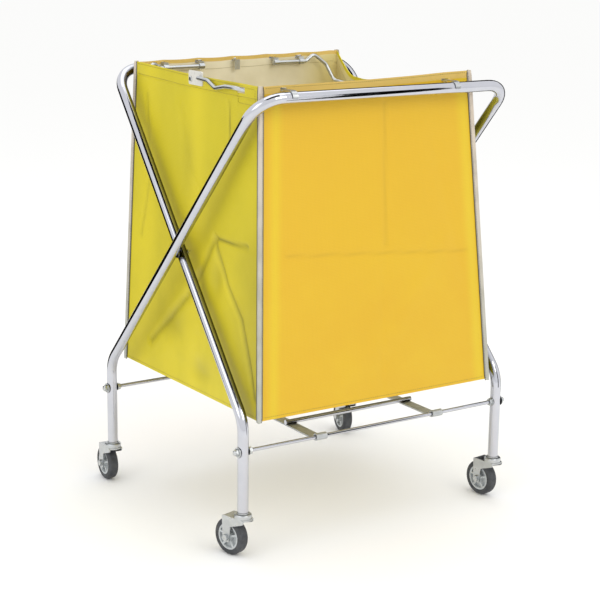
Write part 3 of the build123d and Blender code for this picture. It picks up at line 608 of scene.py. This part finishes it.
def build_bag():
    across_cuts = [front_share(x + d) for x in FRONT_HANGERS for d in (-7, 7)]
    side_cuts = [side_share(y) for y in (-262.8, -261.4, -218, -190.7, -189.3, -186, -179.4, -4.5, 4.5)]
    across = stations(int(540 / GRID), across_cuts)
    depth = stations(int(552 / GRID), side_cuts)
    rear_back = np.array(sorted(list(1 - across[1:]) + [0.0]))
    left_back = np.array(sorted(list(1 - depth[1:]) + [0.0]))
    loops = [("front", across), ("right", depth), ("rear", rear_back), ("left", left_back)]
    hem_rows = np.concatenate([np.arange(0, 26, 2.0), [26.3, 27.6], np.arange(30, 60, 3.0)])
    lower = np.linspace(0, 1, int(585 / GRID) + 1)
    columns = []
    walls = []
    soil_and_shade = []
    for wall, shares in loops:
        h_share = shares[:, None]
        rim = wall_point(wall, shares, below=0.0)[:, 2]
        if wall in ("front", "rear"):
            bottom = np.full(len(shares), FRONT_BOTTOM if wall == "front" else REAR_BOTTOM)
        else:
            t = shares if wall == "right" else 1 - shares
            bottom = FRONT_BOTTOM - (FRONT_BOTTOM - REAR_BOTTOM) * t
        z_hem = rim[:, None] - hem_rows[None, :]
        start = rim - 60.0
        z_low = start[:, None] + (bottom - start)[:, None] * lower[None, :]
        z = np.concatenate([z_hem, z_low], axis=1)
        points = wall_point(wall, h_share + 0 * z, z=z)
        columns.append(points)
        along = points[:, :, 0] if wall in ("front", "rear") else points[:, :, 1] - FOLD_Y
        soil_and_shade.append(painted_fold_shade(wall, along, points[:, :, 2]))
        walls += [wall] * len(shares)
    outer = np.concatenate(columns)
    count, rows = outer.shape[:2]
    inner = outer.copy()
    first = 0
    for index, (wall, shares) in enumerate(loops):
        number = len(shares)
        nx, ny = OUTWARD[wall]
        rim = outer[first:first + number, :1, 2]
        thick = CLOTH + HEM_LAYER * smooth_step((HEM - (rim - outer[first:first + number, :, 2])) / 1.2 + 0.5)
        inner[first:first + number, :, 0] -= nx * thick
        inner[first:first + number, :, 1] -= ny * thick
        before = OUTWARD[loops[index - 1][0]]
        inner[first, :, 0] -= before[0] * thick[0]
        inner[first, :, 1] -= before[1] * thick[0]
        first += number
    inner[:, -1, 2] += CLOTH
    points = [outer.reshape(-1, 3), inner.reshape(-1, 3)]
    offset = count * rows

    holes = [("left", *LEFT_SLOT), ("right", *RIGHT_SLOT),
             ("left", -4.5, 4.5, 908.5, 917.5), ("right", -4.5, 4.5, 867.5, 876.5)]
    holes += [("front", x - 7, x + 7, 914.9, 920.1) for x in FRONT_HANGERS]
    holes += [("rear", x - 7.5, x + 7.5, 914.9, 920.1) for x in REAR_HANGERS]
    kept = np.ones((count, rows - 1), bool)
    for column in range(count):
        after = (column + 1) % count
        mid = (outer[column, :-1] + outer[after, 1:]) / 2
        for wall, h0, h1, z0, z1 in holes:
            if walls[column] != wall:
                continue
            h = mid[:, 0] if wall in ("front", "rear") else mid[:, 1] - FOLD_Y
            kept[column] &= ~((h > h0) & (h < h1) & (mid[:, 2] > z0) & (mid[:, 2] < z1))

    faces, slots = [], []
    outer_slot = {"front": 0, "rear": 0, "left": 1, "right": 1}
    rim_slot = {"front": 4, "rear": 4, "left": 1, "right": 1}

    def at(column, row, side):
        return side * offset + (column % count) * rows + row

    for column in range(count):
        wall = walls[column]
        for row in range(rows - 1):
            if not kept[column, row]:
                continue
            a, b = at(column, row, 0), at(column + 1, row, 0)
            c, d = at(column + 1, row + 1, 0), at(column, row + 1, 0)
            faces.append((a, d, c, b))
            slots.append(4 if wall == "front" and row < 7 else outer_slot[wall])
            faces.append((a + offset, b + offset, c + offset, d + offset))
            slots.append(rim_slot[wall] if row < 4 else 3)
            above = row == 0 or not kept[column, row - 1]
            under = row < rows - 2 and not kept[column, row + 1]
            if above:
                faces.append((a, b, b + offset, a + offset))
                slots.append(rim_slot[wall])
            if under:
                faces.append((d, d + offset, c + offset, c))
                slots.append(outer_slot[wall])
            if not kept[column - 1, row] and walls[column - 1] == wall:
                faces.append((a, a + offset, d + offset, d))
                slots.append(outer_slot[wall])
            if not kept[(column + 1) % count, row] and walls[(column + 1) % count] == wall:
                faces.append((b, c, c + offset, b + offset))
                slots.append(outer_slot[wall])

    # the floor joins the four bottom edges; it sags under its own weight
    nx, ny = len(across), len(depth)
    ring = list(range(count))
    front_row = ring[:nx] + [nx]
    right_row = ring[nx:nx + ny] + [nx + ny]
    rear_row = (ring[nx + ny:2 * nx + ny] + [2 * nx + ny])[::-1]
    left_row = (ring[2 * nx + ny:] + [0])[::-1]
    base = 2 * offset
    extra = []
    grid_index = {}
    for side in (0, 1):
        surface = (outer, inner)[side]
        for j in range(ny + 1):
            for i in range(nx + 1):
                if j == 0:
                    column = front_row[i]
                elif j == ny:
                    column = rear_row[i]
                elif i == 0:
                    column = left_row[j]
                elif i == nx:
                    column = right_row[j]
                else:
                    column = None
                if column is not None:
                    grid_index[side, i, j] = at(column, rows - 1, side)
                    continue
                low, high = surface[front_row[i] % count, -1], surface[rear_row[i] % count, -1]
                west, east = surface[left_row[j] % count, -1], surface[right_row[j] % count, -1]
                span = outer[nx, -1, 0] - outer[0, -1, 0]
                x = west[0] + (east[0] - west[0]) * (low[0] - outer[0, -1, 0]) / span
                y = west[1]
                t = (y - low[1]) / (high[1] - low[1])
                u = i / nx
                z = low[2] + (high[2] - low[2]) * t
                sag = 5.0 * math.sin(math.pi * u) * math.sin(math.pi * t)
                sag += 1.2 * math.sin(9 * u) * math.sin(7 * t) * math.sin(math.pi * u) * math.sin(math.pi * t)
                grid_index[side, i, j] = base + len(extra)
                extra.append((x, y, z - sag))
    for side in (0, 1):
        for j in range(ny):
            for i in range(nx):
                quad = [grid_index[side, i, j], grid_index[side, i + 1, j],
                        grid_index[side, i + 1, j + 1], grid_index[side, i, j + 1]]
                faces.append(tuple(quad if side else quad[::-1]))
                slots.append(3 if side else 2)
    all_points = np.concatenate(points + [np.array(extra)]) * MM
    cloths = [amber_cloth, lemon_cloth, floor_cloth, backing_cloth, hem_cloth]
    bag = new_piece("linen_bag", all_points, faces, cloths, slots)
    # each outer point's share of painted shade in the folds and hollows
    mark = bag.data.attributes.new("painted_fold_shade", "FLOAT", "POINT")
    outer_fold_shade = np.concatenate(soil_and_shade).reshape(-1)
    values = np.zeros(len(bag.data.vertices), np.float32)
    values[:offset] = outer_fold_shade
    mark.data.foreach_set("value", values)
    drop_loose(bag)
    return bag


def drop_loose(piece):
    """Removes points that no face uses."""
    mesh = piece.data
    used = np.zeros(len(mesh.vertices), bool)
    corners = np.zeros(len(mesh.loops), np.int32)
    mesh.loops.foreach_get("vertex_index", corners)
    used[corners] = True
    if used.all():
        return
    shape = bmesh.new()
    shape.from_mesh(mesh)
    bmesh.ops.delete(shape, geom=[v for v in shape.verts if not v.link_faces], context="VERTS")
    shape.to_mesh(mesh)
    shape.free()


# ---------------------------------------------------------------- stitching
def stitch_mesh(name, runs, material, pitch=4.6, length=3.3, width=0.9, height=0.35):
    """Lock stitches along runs of points on the cloth; a run has one outward direction per point."""
    points, faces = [], []
    rings = (-0.5, -0.3, 0.3, 0.5)
    sizes = (0.25, 1.0, 1.0, 0.25)
    for path, outward in runs:
        steps = np.linalg.norm(np.diff(path, axis=0), axis=1)
        travelled = np.concatenate([[0], np.cumsum(steps)])
        marks = np.arange(pitch / 2, travelled[-1], pitch)
        for mark in marks:
            centre = np.array([np.interp(mark, travelled, path[:, k]) for k in range(3)])
            later, earlier = min(mark + 1.5, travelled[-1]), max(mark - 1.5, 0)
            ahead = np.array([np.interp(later, travelled, path[:, k]) for k in range(3)])
            behind = np.array([np.interp(earlier, travelled, path[:, k]) for k in range(3)])
            along = (ahead - behind) / np.linalg.norm(ahead - behind)
            normal = np.array([np.interp(mark, travelled, outward[:, k]) for k in range(3)])
            normal -= along * normal.dot(along)
            normal /= np.linalg.norm(normal)
            side = np.cross(along, normal)
            first = len(points)
            for shift, size in zip(rings, sizes):
                middle = centre + along * shift * length
                for angle in range(6):
                    turn = math.radians(60 * angle)
                    points.append((middle + side * math.cos(turn) * width / 2 * size
                                   + normal * (math.sin(turn) * height * size + 0.1)) * MM)
            for ring in range(3):
                for k in range(6):
                    a, b = first + ring * 6 + k, first + ring * 6 + (k + 1) % 6
                    faces.append((a, b, b + 6, a + 6))
            faces.append(tuple(first + k for k in range(5, -1, -1)))
            faces.append(tuple(first + 18 + k for k in range(6)))
    return new_piece(name, points, faces, [material], sharp=60)


def wall_run(wall, share0, share1, below=None, above_bottom=None, inside=False, lift=0.1):
    share = np.linspace(share0, share1, 140)
    if below is None:
        t = share if wall in ("front", "right") else 1 - share
        h = (2 * t - 1) * BAG_DEPTH
        z = bottom_height(wall, h) + above_bottom
        path = wall_point(wall, share, z=z, lift=lift)
    else:
        path = wall_point(wall, share, below=below + 0 * share, lift=lift)
    nx, ny = OUTWARD[wall]
    if inside:
        path = path - np.array([nx, ny, 0.0]) * (CLOTH + HEM_LAYER + 2 * lift)
        nx, ny = -nx, -ny
    return path, np.tile(np.array([nx, ny, 0.0]), (len(path), 1))


def box_run(wall, patch, lift=0.1):
    """A square of stitching just inside a patch's edge."""
    h0, h1, z0, z1 = patch[0] + 3, patch[1] - 3, patch[2] + 3, patch[3] - 3
    corners = [(h0, z0), (h1, z0), (h1, z1), (h0, z1), (h0, z0)]
    runs = []
    for (ha, za), (hb, zb) in zip(corners, corners[1:]):
        h, z = np.linspace(ha, hb, 30), np.linspace(za, zb, 30)
        share = side_share(h) if wall == "right" else 1 - side_share(h)
        path = wall_point(wall, share, z=z, lift=lift)
        nx, ny = OUTWARD[wall]
        runs.append((path, np.tile(np.array([nx, ny, 0.0]), (len(path), 1))))
    return runs


# ---------------------------------------------------------------- corner binding
def build_binding():
    """Tape folded round each upright corner seam, with a rounded bead on the seam itself."""
    section = [(8.0, -0.55), (7.6, -1.7), (6.6, -1.9), (6.3, -1.5), (3.2, -2.1), (1.2, -3.2), (-0.6, -3.9),
               (-2.4, -3.8), (-3.4, -3.0), (-3.9, -1.8), (-3.7, -0.2), (-2.9, 1.6), (-2.1, 3.4), (-1.5, 6.3),
               (-1.9, 6.6), (-1.7, 7.6), (-0.55, 8.0), (-0.5, 4.0), (-0.5, -0.5), (4.0, -0.5)]
    # the beads along the tape's two outer edges take the dark thread: painted shadow in the gap between tape
    # and cloth
    painted_shadow_edges = (0, 1, 2, 13, 14, 15)
    points, faces, slots = [], [], []
    seams = []
    for wall, y, depth in (("front", -BAG_DEPTH, 1), ("rear", BAG_DEPTH, -1)):
        for edges, inward in ((LEFT_EDGE, 1), (RIGHT_EDGE, -1)):
            (x_top, z_top), (_, z_bottom) = edges[wall]
            first = len(points)
            steps = 70
            for k in range(steps + 1):
                t = k / steps
                z = z_bottom - 3.0 + (z_top + 1.0 - z_bottom + 3.0) * t
                x = edge_x(edges[wall], z)
                ripple = 0.25 * math.sin(k * 1.7 + x_top) + 0.15 * math.sin(k * 0.61)
                end = 0.8 if k in (0, steps) else 1.0
                for a, b in section:
                    grow = (1 + 0.03 * ripple) * end
                    tape_x = x + inward * a * grow
                    tape_y = y + FOLD_Y + depth * b * grow
                    points.append((tape_x * MM, tape_y * MM, z * MM))
            number = len(section)
            flip = inward * depth < 0
            for k in range(steps):
                for m in range(number):
                    a = first + k * number + m
                    b = first + k * number + (m + 1) % number
                    quad = (a, b, b + number, a + number)
                    faces.append(quad[::-1] if not flip else quad)
                    slots.append(1 if m in painted_shadow_edges else 0)
            low = tuple(first + m for m in range(number))
            high = tuple(first + steps * number + m for m in range(number))
            faces.append(low if not flip else low[::-1])
            faces.append(high[::-1] if not flip else high)
            slots += [0, 0]
            heights = np.linspace(z_bottom + 2, z_top - 2, 60)
            xs = edge_x(edges[wall], heights)
            on_front = np.stack([xs + inward * 5.0, np.full(60, y + FOLD_Y - depth * 1.85), heights], axis=-1)
            on_side = np.stack([xs - inward * 1.85, np.full(60, y + FOLD_Y + depth * 5.0), heights], axis=-1)
            seams.append((on_front, np.tile(np.array([0.0, -depth, 0.0]), (60, 1))))
            seams.append((on_side, np.tile(np.array([-inward, 0.0, 0.0], float), (60, 1))))
    binding = new_piece("corner_binding", points, faces, [binding_tape, dark_thread_and_edge_shadow], slots, sharp=50)
    return binding, seams


linen_bag = build_bag()
corner_binding, tape_runs = build_binding()

hem_runs = []
for wall in ("front", "right", "rear", "left"):
    hem_runs.append(wall_run(wall, 0.022, 0.978, below=24.0))
    hem_runs.append(wall_run(wall, 0.022, 0.978, below=3.5))
    hem_runs.append(wall_run(wall, 0.022, 0.978, below=24.0, inside=True))
    hem_runs.append(wall_run(wall, 0.022, 0.978, above_bottom=6.0))
hem_runs += box_run("left", LEFT_PATCH) + box_run("right", RIGHT_PATCH)
hem_stitches = stitch_mesh("hem_stitches", hem_runs, hem_thread)
tape_stitches = stitch_mesh("tape_stitches", tape_runs, dark_thread_and_edge_shadow, pitch=3.6, length=2.9, width=0.8)

for piece in (linen_bag, corner_binding, hem_stitches, tape_stitches):
    hang_on_bag(piece)

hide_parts("bag_front_panel", "bag_rear_panel", "bag_left_panel", "bag_right_panel", "bag_floor")
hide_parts("bag_corner_piping")


# ---------------------------------------------------------------- studio
def flat_card(name, centre, facing, width, height):
    """A flat studio card; facing is the way its face looks."""
    half_w, half_h = width / 2, height / 2
    mesh = bpy.data.meshes.new(name)
    mesh.from_pydata([(-half_w, -half_h, 0), (half_w, -half_h, 0), (half_w, half_h, 0), (-half_w, half_h, 0)],
                     [], [(0, 1, 2, 3)])
    card = bpy.data.objects.new(name, mesh)
    card.location = centre
    card.rotation_euler = Vector(facing).to_track_quat("Z", "Y").to_euler()
    bpy.context.collection.objects.link(card)
    return card


def plain_surface(name, hex_code, roughness):
    material, tree = blank_material(name)
    shader = add(tree, "ShaderNodeBsdfPrincipled",
                 {"Base Color": colour(hex_code), "Roughness": roughness, "Specular IOR Level": 0.0})
    add(tree, "ShaderNodeOutputMaterial", None, {"Surface": (shader, "BSDF")})
    return material


studio_floor = flat_card("studio_floor", (0, 0, -0.0005), (0, 0, 1), 40, 40)
studio_floor.data.materials.append(plain_surface("matt_white_studio_floor", "#F7F7F6", 0.9))
black_flag = plain_surface("black_felt_flag", "#08080A", 0.95)


def reflected_only(flag):
    """A black card that only mirror-like surfaces see."""
    flag.data.materials.append(black_flag)
    flag.visible_camera = False
    flag.visible_diffuse = False
    flag.visible_shadow = False
    flag.visible_transmission = False


# Each flag: bearing in degrees, distance out, height, width and tallness in metres.
FLAGS = [(120, 1.32, 0.5, 1.3, 1.0), (14, 1.05, 0.6, 0.75, 1.2),
         (42, 2.0, 2.0, 2.2, 1.9), (-62, 1.3, 0.6, 0.28, 1.2)]
for number, (bearing, away, height, width, tall) in enumerate(FLAGS):
    angle = math.radians(bearing)
    spot = Vector((away * math.cos(angle), away * math.sin(angle), height))
    reflected_only(flat_card(f"black_flag_{number + 1}", spot, (-spot.x, -spot.y, 0), width, tall))
reflected_only(flat_card("black_overhead", Vector((-0.6, -1.05, 3.0)), (0, 0, -1), 1.8, 1.3))


def soft_light(name, place, aim, size, power, tint):
    data = bpy.data.lights.new(name, "AREA")
    data.shape = "RECTANGLE"
    data.size, data.size_y = size
    data.energy = power
    data.color = colour(tint)[:3]
    lamp = bpy.data.objects.new(name, data)
    lamp.location = place
    lamp.rotation_euler = (Vector(aim) - Vector(place)).to_track_quat("-Z", "Y").to_euler()
    bpy.context.collection.objects.link(lamp)


soft_light("key_softbox", (0.6, -3.0, 2.6), (0, 0, 0.5), (2.0, 1.6), 26, "#FFFDF8")
soft_light("left_softbox", (-3.0, -0.8, 2.2), (0, 0, 0.5), (1.6, 1.8), 12, "#F8FBFF")
soft_light("top_softbox", (0.2, 0.3, 3.4), (0, 0, 0.4), (2.6, 2.6), 16, "#FFFFFF")

world = bpy.data.worlds.new("white_studio")
bpy.context.scene.world = world
world.use_nodes = True
world.node_tree.nodes["Background"].inputs["Color"].default_value = colour("#FFFFFF")
world.node_tree.nodes["Background"].inputs["Strength"].default_value = 1.04

bpy.context.scene.view_settings.view_transform = "Standard"

# ---------------------------------------------------------------- camera
camera_data = bpy.data.cameras.new("camera")
camera_data.sensor_width = 36.0
camera_data.lens = 95.1765
camera_data.clip_start = 0.05
camera_data.clip_end = 100.0
camera = bpy.data.objects.new("camera", camera_data)
CAMERA_RIGHT = (0.83556627, -0.54924392, 0.0126544)
CAMERA_UP = (0.1212304, 0.20679608, 0.97084426)
CAMERA_BACK = (-0.53584718, -0.80967061, 0.23937689)
CAMERA_PLACE = (-1.82352, -2.74685, 1.24104)
camera.matrix_world = Matrix((
    (CAMERA_RIGHT[0], CAMERA_UP[0], CAMERA_BACK[0], CAMERA_PLACE[0]),
    (CAMERA_RIGHT[1], CAMERA_UP[1], CAMERA_BACK[1], CAMERA_PLACE[1]),
    (CAMERA_RIGHT[2], CAMERA_UP[2], CAMERA_BACK[2], CAMERA_PLACE[2]),
    (0, 0, 0, 1),
))
bpy.context.collection.objects.link(camera)
bpy.context.scene.camera = camera
